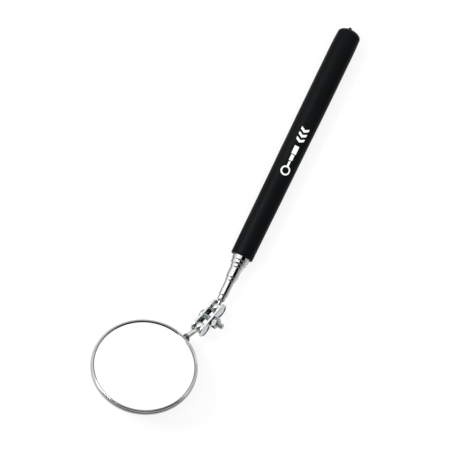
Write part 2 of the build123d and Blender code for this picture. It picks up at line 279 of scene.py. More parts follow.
def rectangle(start, end, inner, outer):
    """Four corners of a turned block, from its bore up, along and down again."""
    return [(start, inner), (start, outer), (end, outer), (end, inner)]


def full_turn(count):
    """Angles once round a circle, evenly spaced."""
    return np.linspace(0, 2 * np.pi, count, endpoint=False)


def about_axis(x, r, angle):
    """Points at x along an axis and r away from it: (x, r * cos(angle), r * sin(angle))."""
    return np.stack(np.broadcast_arrays(x, r * np.cos(angle), r * np.sin(angle)), axis=-1)


def lathe(name, profile, axes, turns=TURNS):
    """Carries a profile of (distance along, radius) once round the axes' first direction. One that
    starts and ends on the axis closes by itself. Any other closes along too, as a ring does."""
    x, r = np.asarray(profile).T[..., None]
    is_ring = (r[[0, -1]] > TINY).any()
    return surface(name, axes.place(about_axis(x, r, full_turn(turns))), along=is_ring)


def upright(axes):
    """The same axes with their up direction first, to turn shapes about a screw or a case."""
    return Axes(axes.origin, axes.up, axes.along)


print("a rounded square has", len(rounded(rectangle(0, 1, 0, 1), 0.1)), "points")

# %% [markdown]
# Pressed parts, such as the clamp's plates, are cut from strip and pushed into shape. The surface
# is a stack of closed loops, one for each station along the part. A loop runs across the under face
# and back over the upper face, and both heights are formulas of the place on the plate.

# %% Pressed shapes
def pressed(name, stations, half_width, low, high, axes, across=41):
    """A closed slab. At each station x the loop goes from side to side at height low(x, y), and
    back at height high(x, y), with y = half_width(x) * sin(angle), which gathers points near the
    sides, where the edge is rounded."""
    swing = np.sin(np.linspace(-np.pi / 2, np.pi / 2, across))
    x = np.repeat(stations[:, None], across, axis=1)
    y = half_width(stations)[:, None] * swing
    under = np.stack([x, y, low(x, y)], axis=-1)
    over = np.stack([x, y, high(x, y)], axis=-1)[:, ::-1]
    return surface(name, axes.place(capped(np.concatenate([under, over], axis=1))))


def half_chord(radius, x):
    """Half of a circle's chord at x from its middle: sqrt(radius^2 - x^2), or zero outside it."""
    return np.sqrt(np.clip(radius**2 - x**2, 0, None))


def edge_drop(distance, radius):
    """How far a rounded edge falls below the face, at a distance in from the outline: a quarter
    circle, so the fall is the radius less the half chord at radius - distance."""
    return radius - half_chord(radius, np.clip(radius - distance, 0, radius))


print("half way in, an edge of radius 1 falls by", edge_drop(0.5, 1.0).round(3))

# %% [markdown]
# ## Grip
# The grip is a vinyl sleeve made by dipping a warm former in liquid vinyl. Gravity leaves it a
# little thicker towards the closed butt, and the last drop sets as a small nub, slightly off the
# middle. The sleeve is one turned outline: half an ellipse for the butt, a straight band, and a
# slow taper to the mouth. The nub is a smooth bump, and the skin is very slightly wavy.

# %% Grip sleeve
band = named(mounts, "grip_band")["dims"]
band_radius = band["r_mm"] * MM
band_half = band["length_mm"] * MM / 2
butt_apex = -band_half - 14.0 * MM
butt_depth = 3.6 * MM
butt_radius = band_radius - 0.3 * MM
mouth_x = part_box("grip_sleeve")[1].x
mouth_radius = 6.25 * MM
mouth_edge = 0.5 * MM
sleeve_bore = 4.76 * MM
sleeve_floor = butt_apex + 3.0 * MM
bore_step = 10 * MM
nub_height = 1.15 * MM
nub_width = 0.95 * MM
nub_place = np.array([-0.95, -0.31]) * MM
dome_rows = 64
skin_wave = 0.018 * MM
long_wave = 9 * MM
short_wave = 3.7 * MM
short_share = 0.6
wave_fade = 4 * MM
skin_least = 0.6 * MM


def grip_outline():
    """Distance along and radius of the sleeve: the dome r = R sqrt(1 - (1 - d/depth)^2) with d
    from the apex, then the band, the taper and the rounded mouth, and back along the bore."""
    fall = np.sin(np.linspace(0, np.pi / 2, dome_rows))
    dome = np.stack([butt_apex + butt_depth * (1 - np.sqrt(1 - fall**2)), butt_radius * fall], 1)
    along = np.linspace(0, 1, 220)[1:] * (mouth_x - mouth_edge * 2 - dome[-1, 0]) + dome[-1, 0]
    swell = np.clip((along - dome[-1, 0]) / (-band_half - dome[-1, 0]), 0, 1)
    shrink = np.clip((along - band_half) / (mouth_x - band_half), 0, 1)
    radius = butt_radius + (band_radius - butt_radius) * np.sin(swell * np.pi / 2)
    radius -= (band_radius - mouth_radius) * shrink
    body = np.stack([along, radius], 1)
    mouth = open_rounded(
        [
            (mouth_x - mouth_edge * 4, mouth_radius),
            (mouth_x, mouth_radius),
            (mouth_x, sleeve_bore),
            (mouth_x - mouth_edge * 4, sleeve_bore),
        ],
        [0, mouth_edge, mouth_edge / 3, 0],
    )[1:]
    bore = [(mouth_x - bore_step, sleeve_bore), (sleeve_floor, sleeve_bore), (sleeve_floor, 0)]
    return np.concatenate([dome, body, mouth, bore])


def grip_sleeve():
    """The turned outline with two changes: near the butt the surface is pushed out along the
    handle by height / (1 + (distance / width)^4) about the nub, and a long and a short wave take
    a little off the outer skin, sin(x / length + turns) less the most that it can reach."""
    outline = grip_outline()
    angle = full_turn(TURNS)
    x, r = outline.T[..., None]
    outer = (r > sleeve_bore + skin_least) & (x > butt_apex + butt_depth)
    wave = np.sin(x / long_wave + angle) + short_share * np.sin(x / short_wave - 2 * angle + 1.3)
    wave = wave - (1 + short_share)
    r = r + outer * skin_wave * wave * np.clip((mouth_x - x) / wave_fade, 0, 1)
    local = about_axis(x, r, angle)
    distance = np.linalg.norm(local[..., 1:] - nub_place, axis=-1)
    on_dome = np.arange(len(outline))[:, None] < dome_rows
    local[..., 0] -= on_dome * nub_height / (1 + (distance / nub_width) ** 4)
    return surface("grip", handle.place(local))


grip = stand_for(grip_sleeve(), "grip_sleeve", "handle")

# %% [markdown]
# ## Mark on the grip
# Such grips carry a white print. Here it is a plain pictogram with no lettering: a ring on a
# stepped bar for a mirror on a telescoping rod, and three arrowheads for pulling it out. Print is
# a thin film, so each stroke is a strip drawn flat, then wrapped on the grip.

# %% Printed pictogram
film = 0.02 * MM
print_turn = radians(92.0)
mark_from = 31.0 * MM
chevron_slope = 0.6


def wrapped(name, outline_a, outline_b, closed=False):
    """A printed strip between two edge lines, each given as (along, across). Points in between are
    their means, and a point wraps to the angle across / radius on the grip's skin. A closed strip
    joins its own start, any other gets two end caps."""
    share = np.linspace(0, 1, 9)[:, None, None]
    flat = outline_a * (1 - share) + outline_b * share
    x = flat[..., 0] + mark_from
    skin = band_radius - (band_radius - mouth_radius) * (x - band_half) / (mouth_x - band_half)
    skin = np.minimum(skin, band_radius) + skin_wave
    angle = print_turn - flat[..., 1] / skin
    under, over = (about_axis(x, lift, angle) for lift in (skin - 4 * film, skin + film))
    shell = np.concatenate([under, over[::-1]])
    if not closed:
        shell = capped(shell.swapaxes(0, 1)).swapaxes(0, 1)
    return surface(name, handle.place(shell), around=closed, along=True)


def bar(name, start, end, width):
    """A straight stroke along the handle, in millimetres."""
    along = np.linspace(start, end, 12)
    one, other = (np.stack([along, np.full(12, s * width / 2)], 1) * MM for s in (-1, 1))
    return wrapped(name, one, other)


def ring(name, centre, radius, stroke):
    """A ring: two circles about one centre."""
    angle = full_turn(72)
    turn_in = np.stack([np.cos(angle), np.sin(angle)], 1)
    inner, outer = (turn_in * r + (centre, 0) for r in (radius - stroke, radius))
    return wrapped(name, inner * MM, outer * MM, closed=True)


def arrowhead(name, tip, height, stroke):
    """A chevron: two slanted strokes that meet at the tip."""
    across = np.linspace(-height / 2, height / 2, 25)
    front = np.stack([tip - np.abs(across) * chevron_slope, across], 1)
    return wrapped(name, front * MM, (front - (stroke, 0)) * MM)


strokes = [arrowhead(f"arrow_{n}", 3.4 + 3.0 * n, 4.6, 1.5) for n in range(3)]
strokes += [bar("rod_wide", 11.6, 16.4, 2.6), bar("rod_middle", 16.9, 20.2, 1.9)]
strokes += [bar("rod_thin", 20.7, 23.7, 1.1), ring("ring", 26.3, 2.7, 0.85)]
mark = joined("grip_mark", strokes)
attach(mark, "handle")

# %% [markdown]
# ## Telescoping tubes
# Each tube is drawn thin, and its front end is pressed down to a short mouth that just lets the
# next tube through. That step catches the light in bands, so its corners get real rounds. Near the
# tail two beads are rolled out, which hold the brass friction shims.

# %% Tubes
tube_wall = 0.3 * MM
mouth_length = 2.0 * MM
nose_length = 2.6 * MM
mouth_taper = 0.6 * MM
mouth_curl = 0.7 * MM
bead_length = 0.8 * MM
bead_height = 0.2 * MM
shim_bay = 12.9 * MM
tube_radii = np.array([4.75, 4.0, 3.25, 2.5]) * MM
mouth_bores = np.array([4.03, 3.28, 2.53, 1.86]) * MM
tube_nodes = ["handle_tube", "first_stage_tube", "second_stage_tube", "third_stage_tube"]
tube_bodies = ["handle", "first_stage", "second_stage", "third_stage"]


def bead(start, radius):
    """The four corners of a bead rolled out of a tube, with the radius of each corner."""
    x = start + np.array([0, 0.2, 0.8, 1.0]) * bead_length
    r = radius + np.array([0, 1, 1, 0]) * bead_height
    return list(zip(x, r)), [0.1 * MM] * 4


def tube(step):
    """One tube: outside from the tail to the mouth, then back along the inside."""
    low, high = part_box(tube_nodes[step])
    outer, bore = tube_radii[step], mouth_bores[step]
    mouth = nose_length if step == 3 else mouth_length
    mouth_start = high.x - mouth
    corners = [(low.x, outer)]
    radii = [0.1 * MM]
    for start in (low.x + 0.1 * MM, low.x + shim_bay) if step else ():
        more, rounds = bead(start, outer)
        corners += more
        radii += rounds
    corners += [
        (mouth_start - mouth_taper, outer),
        (mouth_start, bore + tube_wall),
        (high.x - mouth_curl, bore + tube_wall),
        (high.x, bore + 0.1 * MM),
        (high.x - mouth_curl / 2, bore),
        (mouth_start, bore),
        (mouth_start - mouth_taper, outer - tube_wall),
        (low.x, outer - tube_wall),
    ]
    radii += [r * MM for r in (0.45, 0.25, 0.3, 0.03, 0.1, 0.2, 0.3, 0.1)]
    piece = lathe(f"tube_{step}", rounded(corners, radii), handle)
    return stand_for(piece, tube_nodes[step], tube_bodies[step])


tubes = [tube(step) for step in range(4)]

# %% [markdown]
# ## Rod stud and balls
# The stud is gripped by the nose of the smallest tube and necks down to a polished ball, which the
# clamp holds. Stud and ball turn by a few degrees at the joint, so the stud ends in a hollow seat,
# a spherical cap just larger than the ball, and no gap shows.

# %% Stud, stem and balls
ball_radius = 3.0 * MM
ball_flat = 0.985 * ball_radius
seat_radius = 3.03 * MM
neck_radius = 1.2 * MM
stem_neck_end = 3.6 * MM
stem_radius = 1.4 * MM
pivot_radius = 0.9 * MM
case_radius = 28.6 * MM
collar_length = 1.6 * MM


def seat_arc(way, steps=16):
    """The seat's arc from the axis out to the neck: radius * (cos a, sin a), with a up to where
    the sine reaches the neck. way is -1 on the handle's side and +1 on the mirror's."""
    a = np.linspace(0, np.arcsin(neck_radius / seat_radius), steps)
    return np.stack([way * seat_radius * np.cos(a), seat_radius * np.sin(a)], axis=1)


def from_ball(name, way, corners, radii, axes):
    """A turned stud that starts at its seat on a ball and ends on the axis."""
    arc = seat_arc(way)
    tip = (corners[-1][0], 0)
    rest = open_rounded([arc[-1], *corners, tip], [0, *radii, 0])
    return lathe(name, np.concatenate([arc, rest, [tip]]), axes, 96)


def ball(name, axes, way, node, body):
    """A ball: a circle's arc turned about its axis, with the small flat that is left where the
    lathe tool began, on the side away from the stud."""
    a = np.linspace(0, np.pi, 73)
    x, r = -way * ball_radius * np.cos(a), ball_radius * np.sin(a)
    profile = np.stack([np.clip(x, -ball_flat, ball_flat), r], axis=1)
    profile[[0, -1], 1] = 0
    return stand_for(lathe(name, profile, axes, 96), node, body)


nose_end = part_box("third_stage_tube")[1].x - rod_ball_at[0]
shank_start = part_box("rod_stud")[0].x - rod_ball_at[0]
shank_radius = 1.85 * MM
stud_slope = 0.65 * MM
stud_line = [(nose_end + stud_slope, neck_radius)]
stud_line += [(nose_end, shank_radius), (shank_start, shank_radius)]
stud = from_ball("stud", -1, stud_line, np.array([0.3, 0.2, 0.2]) * MM, rod)
stand_for(stud, "rod_stud", "third_stage")

stem_reach = case_reach - case_radius
root_end = stem_reach - collar_length - 0.03 * MM
pivot_end = stem_reach + 0.5 * MM
stem_line = [(stem_neck_end, neck_radius), (root_end, stem_radius)]
stem_line += [(root_end, pivot_radius), (pivot_end, pivot_radius)]
mirror_stem = from_ball("stem", 1, stem_line, np.array([1.0, 0.15, 0.05, 0.1]) * MM, stem)
stand_for(mirror_stem, "mirror_stem", "stem")

rod_ball = ball("ball_rod", rod, -1, "rod_ball", "rod_ball")
mirror_ball = ball("ball_mirror", stem, 1, "mirror_ball", "mirror_ball")

# %% [markdown]
# ## Clamp plates
# Two pressed plates squeeze the balls between them. Each is a strip with round ends and a slightly
# narrow waist, and the press leaves a hollow seat inside and a wide dome outside for each ball. The
# outline is two circles joined by arcs that touch them.

# %% Clamp plates
plate_inner = 2.25 * MM
plate_thickness = 1.2 * MM
plate_outer = plate_inner + plate_thickness
dome_radius = seat_radius + plate_thickness
end_radius = 3.9 * MM
waist = 3.3 * MM
edge_radius = 0.42 * MM
half_spacing = ball_spacing / 2
waist_arc = (half_spacing**2 + waist**2 - end_radius**2) / (2 * (end_radius - waist))
touch = half_spacing * (1 - end_radius / (end_radius + waist_arc))


def plate_half_width(x):
    """Half the plate's width: the circle's chord beyond the touching point, the arc before it."""
    past = np.clip(np.abs(x) - half_spacing, -end_radius, end_radius)
    arc = waist + waist_arc - half_chord(waist_arc, np.clip(np.abs(x), 0, touch))
    return np.where(np.abs(x) < touch, arc, half_chord(end_radius, past))


def to_ball(x, y):
    """Distance across the plate from the nearer ball's centre."""
    return np.hypot(np.abs(x) - half_spacing, y)


def plate_inset(x, y):
    """How far in from the outline a point is, measured square to the circle or the arc."""
    to_arc = np.hypot(x, waist + waist_arc - np.abs(y)) - waist_arc
    return np.where(np.abs(x) < touch, to_arc, end_radius - to_ball(x, y))


def plate_over(x, y):
    """The outer face: the dome swells by (1 - share^2)^2, where share is the distance from the
    nearer ball's centre divided by the end's radius, and the edge falls away."""
    share = to_ball(x, y) / end_radius
    swell = np.clip(1 - share**2, 0, 1) ** 2
    dome = plate_outer + (dome_radius - plate_outer) * swell
    return dome - edge_drop(plate_inset(x, y), edge_radius)


def plate_under(x, y):
    """The inner face: the flat, or the ball's seat where that is deeper, and the edge's fall."""
    seat = np.maximum(half_chord(seat_radius, to_ball(x, y)), plate_inner)
    return seat + edge_drop(plate_inset(x, y), edge_radius / 2)


def plate_stations():
    """Stations along the plate, gathered towards both ends by a sine."""
    reach = half_spacing + end_radius
    middle = np.linspace(-0.8, 0.8, 121) * reach
    tip = reach * (0.8 + 0.2 * np.sin(np.linspace(0, np.pi / 2, 40)))[1:]
    return np.concatenate([-tip[::-1], middle, tip])


plates = []
for side, label in ((1, "nut"), (-1, "head")):
    plate_axes = Axes(clamp.origin, clamp.along, clamp.up * side)
    shape = plate_stations(), plate_half_width, plate_under, plate_over
    plate = pressed(f"plate_{label}", *shape, plate_axes, 61)
    plates.append(stand_for(plate, f"clamp_plate_{label}_side", "clamp"))

# %% [markdown]
# ## Screw, washer and nut
# One small screw sets how hard the plates squeeze. Its thread is a real helix: the radius goes up
# and down with the height divided by the pitch, less the share of a turn, so one formula winds the
# ridge round the shank. The head is a pan with a straight slot, made as a pressed shape whose
# stations lie across the slot, so that its walls fall exactly on two stations.

# %% Screw
screw_radius = 1.5 * MM
thread_pitch = 0.5 * MM
thread_depth = 0.27 * MM
tip_chamfer = 0.4 * MM
head_radius = 2.8 * MM
head_height = 1.7 * MM
pan_power = 3.4
slot_half = 0.4 * MM
slot_depth = 0.9 * MM
washer_height = 0.8 * MM
nut_height = 2.4 * MM
nut_start = plate_outer + washer_height
past_nut = 3.4 * MM
screw_tip = nut_start + nut_height + past_nut


def screw_thread():
    """The threaded shank: radius = outer - depth * |2 * phase - 1| with the phase going from 0 to
    1 over each pitch, cut off by a cone at the tip. The first and last rings close it."""
    rows = np.pad(np.linspace(-plate_outer, screw_tip, 341), 1, mode="edge")
    z, a = np.meshgrid(rows, full_turn(64), indexing="ij")
    phase = np.mod(z / thread_pitch - a / (2 * np.pi), 1)
    r = screw_radius - thread_depth * np.abs(2 * phase - 1)
    r = np.minimum(r, screw_radius - tip_chamfer + (screw_tip - z))
    r[[0, -1]] = 0
    return surface("screw_thread", upright(clamp).place(about_axis(z, r, a)))


def screw_head():
    """The pan head: height * (1 - (r / R)^p)^(1 / p), with p the pan's power, or the floor of the
    slot where the station lies inside it."""
    beyond = np.linspace(0, np.pi / 2, 28)[1:]
    outside = slot_half + (head_radius - slot_half) * np.sin(beyond)
    inside = np.linspace(-slot_half, slot_half, 5)
    stations = np.concatenate([-outside[::-1], [-slot_half], inside, [slot_half], outside])
    in_slot = np.zeros(len(stations), bool)
    in_slot[len(outside) + 1 : -len(outside) - 1] = True

    def width(x):
        """Half the chord of the round head at x."""
        return half_chord(head_radius, x)

    def over(x, y):
        """The pan's height, or the slot's floor where that is lower and x lies in the slot."""
        share = np.clip(np.hypot(x, y) / head_radius, 0, 1)
        pan = head_height * (1 - share**pan_power) ** (1 / pan_power)
        floor = np.minimum(pan, head_height - slot_depth)
        return plate_outer + np.where(in_slot[:, None], floor, pan)

    def under(x, y):
        """The flat that sits on the plate."""
        return plate_outer + 0 * x

    turned_over = Axes(clamp.origin, clamp.side, -clamp.up)
    return pressed("screw_head", stations, width, under, over, turned_over, 61)


screw = joined("screw", [screw_thread(), screw_head()])
stand_for(screw, "clamp_screw", "clamp")

# %% [markdown]
# The lock washer is a turn of square wire, cut through at one place. It is a rounded section swept
# round most of a circle, and both ends are closed to their middle. The nut is a hexagon whose
# corners are turned off at a slant.

# %% Washer and nut
washer_inner = 1.65 * MM
washer_outer = 2.7 * MM
washer_round = 0.12 * MM
washer_split = 0.25 * MM
nut_half_width = 2.75 * MM
nut_turned_off = 0.36 * MM
nut_slant = 0.4 * MM
nut_bore = screw_radius + 0.03 * MM
bore_chamfer = 0.2 * MM
face_inset = 0.3 * MM


def lock_washer():
    """The section (height, radius) carried round from one side of the split to the other."""
    section = rounded(rectangle(plate_outer, nut_start, washer_inner, washer_outer), washer_round, 5)
    gap = washer_split / washer_outer
    a = np.linspace(gap, 2 * np.pi - gap, 120)[:, None]
    height, radius = section.T
    return surface("washer", upright(clamp).place(capped(about_axis(height, radius, a))))


def hexagon_nut():
    """Rings of points from the bore out over the near face, along the sides, and back over the far
    face. Along the slants the radius is the smaller of the hexagon's, half width / cos(angle from
    the middle of the flat), and the cone's."""
    a = full_turn(192)
    hexagon = nut_half_width / np.cos(np.mod(a, np.pi / 3) - np.pi / 6)
    fall = np.linspace(0, nut_slant, 9)
    cone = nut_half_width / cos(np.pi / 6) - nut_turned_off + fall
    sides = np.minimum(hexagon, cone[:, None])
    near = [(bore_chamfer, nut_bore), (0, nut_bore + bore_chamfer), (0, sides[0] - face_inset)]
    near += zip(fall, sides)
    rings = near + [(nut_height - height, r) for height, r in near[::-1]]
    grid = np.stack([about_axis(nut_start + height, r, a) for height, r in rings])
    return surface("nut", upright(clamp).place(grid), along=True)


washer = stand_for(lock_washer(), "lock_washer", "clamp")
nut = stand_for(hexagon_nut(), "clamp_nut", "nut")

# %% [markdown]
# ## Mirror case and glass
# The case is a shallow pressed cup whose rim is rolled in over the glass as a smooth bead. The bead
# carries the bright and dark rings that make it read as metal. The glass is a flat disc with a fine
# ground bevel, silvered behind.

# %% Case and glass
case_wall = 0.5 * MM
case_half = 1.55 * MM
lip_width = 1.9 * MM
lip_thickness = 0.4 * MM
lip_foot = 0.35 * MM
lip_slant = 0.1 * MM
back_corner = 0.9 * MM
bead_rise = 1.5 * MM
bead_power = 1.25
glass_front = 0.75 * MM
glass_thickness = 1.2 * MM
glass_back = glass_front - glass_thickness
glass_radius = case_radius - case_wall - 0.15 * MM


def rolled_case():
    """The cup's outline: up the outer wall, over the bead, down to the glass, and back inside. The
    bead's outer side is a superellipse, (cos t)^p outward and (sin t)^p up, a little flatter than
    a circle, and its inner side is a small quarter circle."""
    outside, lip = case_radius, case_radius - lip_width
    inner = outside - case_wall
    under_lip = glass_front + 0.02 * MM
    t = np.linspace(0, np.pi / 2, 28)
    back = back_corner * np.stack([1 - np.cos(t), np.sin(t) - 1], 1) + (-case_half, outside)
    outer = np.stack([bead_rise * np.sin(t) ** bead_power, bead_rise * np.cos(t) ** bead_power], 1)
    outer += (case_half - bead_rise, outside - bead_rise)
    turn_in = lip_width - bead_rise
    inward = turn_in * np.stack([np.sin(t + np.pi / 2), np.cos(t + np.pi / 2)], 1)
    inward += (case_half - turn_in, outside - bead_rise)
    below = [
        (under_lip, lip),
        (under_lip, lip + lip_foot),
        (case_half - lip_thickness, lip + lip_foot + lip_slant),
        (case_half - lip_thickness, inner),
        (-case_half + case_wall, inner),
        (-case_half + case_wall, 0),
    ]
    start = [(-case_half, 0)]
    profile = np.concatenate([start, back, outer, inward[1:], below])
    return lathe("case", profile, upright(case), 288)


def flat_glass():
    """A flat disc: back, edge, bevel and front in turn, with fine rounds at the corners."""
    bevel, fine = 0.25 * MM, 0.05 * MM
    corners = [
        (glass_back, 0),
        (glass_back, glass_radius),
        (glass_front - bevel, glass_radius),
        (glass_front, glass_radius - bevel),
        (glass_front, 0),
    ]
    edge = open_rounded(corners, [0, fine, fine, fine, 0], 4)
    return lathe("glass", np.concatenate([corners[:1], edge, corners[-1:]]), upright(case), 288)


mirror_case = stand_for(rolled_case(), "mirror_case", "mirror_head")
glass = stand_for(flat_glass(), "mirror_glass", "mirror_head")

# %% [markdown]
# ## Bracket and rivets
# The stem ends in a short collar at the edge of the case. The collar stands on a tongue of strip
# steel that runs under the case's back, and two rivets hold it there. From the front only the
# collar shows, as a dark root. From behind the tongue and the rivets show.

# %% Bracket and rivets
collar_radius = 1.8 * MM
collar_bore = 0.93 * MM
hair = 0.02 * MM
tongue_half = 2.0 * MM
tongue_length = 11.0 * MM
tongue_top = -case_half - 0.01 * MM
tongue_thickness = 0.8 * MM
tongue_bottom = tongue_top - tongue_thickness
collar_from = -case_radius - collar_length
collar_to = -case_radius - hair
rivet_places = np.array([4.6, 9.1]) * MM - case_radius


def bracket_tongue():
    """The strip under the case, rounded at its inner end, with softly rounded edges."""
    reach = collar_from + tongue_length
    curve = reach - tongue_half

    def width(x):
        """Half the strip's width, and past the curve's start the chord of its round end."""
        return half_chord(tongue_half, np.clip(x - curve, 0, tongue_half))

    def inset(x, y):
        """Distance in from the outline: from the side, the round end or the square end."""
        to_side = tongue_half - np.abs(y)
        to_end = tongue_half - np.hypot(x - curve, y)
        return np.minimum(np.where(x > curve, to_end, to_side), x - collar_from)

    def over(x, y):
        """The top face less the fall of its edge."""
        return tongue_top - edge_drop(inset(x, y), 0.1 * MM)

    def under(x, y):
        """The bottom face raised by the fall of its edge."""
        return tongue_bottom + edge_drop(inset(x, y), 0.25 * MM)

    bend = np.sin(np.linspace(0, np.pi / 2, 24))
    start = collar_from + 0.3 * MM * np.linspace(0, 1, 8)
    straight = np.linspace(start[-1], curve, 30)[1:]
    stations = np.concatenate([start, straight, curve + tongue_half * bend[1:]])
    return pressed("tongue", stations, width, under, over, case)


def bracket_collar():
    """The round collar, cut short of the case's wall, with a bore for the stem's pivot."""
    corners = rectangle(collar_from, collar_to, collar_bore, collar_radius)
    profile = rounded(corners, np.array([0.08, 0.25, 0.05, 0.02]) * MM, 6)
    return lathe("collar", profile, case, 96)


def bracket_heel():
    """The web between the collar and the tongue: a block with rounded edges."""
    edge = collar_from + 0.15 * MM * np.linspace(0, 1, 6)
    stations = np.concatenate([edge, np.linspace(collar_from + 0.2 * MM, collar_to, 8)])

    def inset(x, y):
        """Distance in from the side or from the outer end, whichever is less."""
        return np.minimum(collar_radius - np.abs(y), x - collar_from)

    def over(x, y):
        """The collar's middle height less the fall of the edge."""
        return 0 * x - edge_drop(inset(x, y), 0.15 * MM)

    def under(x, y):
        """A little above the tongue's bottom, raised by the fall of the edge."""
        return tongue_bottom + 0.2 * MM + edge_drop(inset(x, y), 0.15 * MM)

    return pressed("heel", stations, lambda x: collar_radius + 0 * x, under, over, case, 31)


def rivet(number, x):
    """A rivet: a round head outside, h * sqrt(1 - (r / R)^2) high, a shank and a flat head."""
    head, shank, height = 1.6 * MM, 0.9 * MM, 0.5 * MM
    rise = np.linspace(0, np.pi / 2, 16)
    below = tongue_bottom - 0.01 * MM
    dome = np.stack([below - height * np.cos(rise), head * np.sin(rise)], axis=1)
    inside = -case_half + case_wall + 0.01 * MM
    rest = [(below, shank), (inside, shank), (inside, head), (inside + height, head)]
    profile = np.concatenate([dome, rest, [(inside + height, 0)]])
    axes = Axes(case.origin + case.along * x, case.up, case.along)
    return lathe(f"rivet_{number}", profile, axes, 64)


bracket = joined("bracket", [bracket_tongue(), bracket_collar(), bracket_heel()])
stand_for(bracket, "stem_bracket", "mirror_head")
rivets = joined("rivets", [rivet(number, x) for number, x in enumerate(rivet_places)])
stand_for(rivets, "bracket_rivets", "mirror_head")

# %% [markdown]
# ## Finishes
# Every finish is a Principled shader fed by a few noises on Object coordinates, so a pattern stays
# on its piece when the piece moves. Values that are the same all over stand on the shader itself.
# What changes over the surface comes through a noise: colour, roughness and a fine bump.

# %% Shader helpers
class Finish:
    """A material with a Principled shader and short ways to feed its sockets."""

    def __init__(self, name, colour, metallic, roughness, **values):
        self.material = bpy.data.materials.new(name)
        self.material.use_nodes = True
        self.nodes = self.material.node_tree.nodes
        self.links = self.material.node_tree.links
        self.shader = next(n for n in self.nodes if n.type == "BSDF_PRINCIPLED")
        self.set("Base Color", (*colour, 1))
        self.set("Metallic", metallic)
        self.set("Roughness", roughness)
        for socket, value in values.items():
            self.set(socket.replace("_", " "), value)
        self.coordinates = self.nodes.new("ShaderNodeTexCoord").outputs["Object"]

    def set(self, socket, value):
        """A constant straight on the shader."""
        self.shader.inputs[socket].default_value = value

    def node(self, kind, source, into, **values):
        """A new node with a source linked into one of its sockets and constants on others."""
        node = self.nodes.new(f"ShaderNode{kind}")
        for socket, value in values.items():
            node.inputs[socket.replace("_", " ")].default_value = value
        self.links.new(source, node.inputs[into])
        return node

    def feed(self, source, socket):
        """A source linked into one of the shader's sockets."""
        self.links.new(source, self.shader.inputs[socket])

    def mapped(self, scale, axis=None):
        """Object coordinates, turned so that their X lies along the axis, then stretched."""
        turned_to = self.coordinates
        if axis is not None:
            angles = Vector(axis).rotation_difference(Vector((1, 0, 0))).to_euler()
            turned_to = self.node("Mapping", turned_to, "Vector", Rotation=angles).outputs["Vector"]
        return self.node("Mapping", turned_to, "Vector", Scale=scale).outputs["Vector"]

    def noise(self, scale, stretch=(1, 1, 1), axis=None, detail=3.0):
        """Noise with the given number of features to the metre."""
        place = self.mapped(stretch, axis)
        return self.node("TexNoise", place, "Vector", Scale=scale, Detail=detail).outputs["Fac"]

    def spread(self, source, low, high, start=0.3, end=0.7):
        """A source's range from start to end carried to low..high."""
        ends = {"From_Min": start, "From_Max": end, "To_Min": low, "To_Max": high}
        return self.node("MapRange", source, "Value", **ends).outputs["Result"]

    def roughness(self, source, low, high):
        """Roughness from low to high as the source goes through its middle range."""
        self.feed(self.spread(source, low, high), "Roughness")

    def colour(self, source, low, high):
        """Base colour from low to high as the source goes through its middle range."""
        ramp = self.node("ValToRGB", source, "Fac")
        for element, place, value in zip(ramp.color_ramp.elements, (0.3, 0.7), (low, high)):
            element.position = place
            element.color = (*value, 1)
        self.feed(ramp.outputs["Color"], "Base Color")

    def from_axis(self, centre, axis):
        """Distance from an axis: |(p - centre) x axis|."""
        found = self.coordinates
        for operation, value in (("SUBTRACT", centre), ("CROSS_PRODUCT", axis), ("LENGTH", None)):
            node = self.node("VectorMath", found, 0)
            node.operation = operation
            if value is not None:
                node.inputs[1].default_value = value
            found = node.outputs["Value" if operation == "LENGTH" else "Vector"]
        return found

    def paint_shade(self, source, low, start, end):
        """Painted shade: base colour scaled from low to 1 as the source goes from start to end."""
        before = self.shader.inputs["Base Color"].links[0].from_socket
        scaling = self.node("VectorMath", before, "Vector")
        scaling.operation = "SCALE"
        self.links.new(self.spread(source, low, 1, start, end), scaling.inputs["Scale"])
        self.feed(scaling.outputs["Vector"], "Base Color")

    def bump(self, source, height):
        """A bump of the given height in metres, laid over one that is already there."""
        node = self.node("Bump", source, "Height", Strength=1.0, Distance=height)
        before = self.shader.inputs["Normal"].links
        if before:
            self.links.new(before[0].from_socket, node.inputs["Normal"])
        self.feed(node.outputs["Normal"], "Normal")


def wear(finish, *pieces):
    """Gives pieces, or nodes of the frame, one finish all over."""
    for piece in pieces:
        piece.data.materials.clear()
        piece.data.materials.append(finish.material)
    print(finish.material.name, "on", ", ".join(piece.name for piece in pieces))


print("a finish takes colour, roughness, bump and dull, each from a noise or a distance")

# %% [markdown]
# The vinyl is black with a faint blue cast and a soft sheen. Its skin reflects little, so the
# specular level is low. Under a strong light it shows a fine orange peel and slow changes in gloss
# where hands have polished it.

# %% Vinyl and print
vinyl = Finish("dipped_vinyl", (0.004, 0.005, 0.0055), 0.0, 0.5, Specular_IOR_Level=0.05)
vinyl.roughness(vinyl.noise(60, detail=4), 0.33, 0.43)
vinyl.colour(vinyl.noise(35), (0.0022, 0.0028, 0.0031), (0.0036, 0.0044, 0.0048))
vinyl.bump(vinyl.noise(1500, detail=2), 0.012 * MM)
vinyl.bump(vinyl.noise(180), 0.03 * MM)
wear(vinyl, grip)

ink = Finish("white_print", (0.8, 0.8, 0.8), 0.0, 0.45)
ink.colour(ink.noise(2600, detail=5), (0.62, 0.63, 0.63), (0.86, 0.87, 0.87))
ink.bump(ink.noise(2600), 0.004 * MM)
wear(ink, mark)
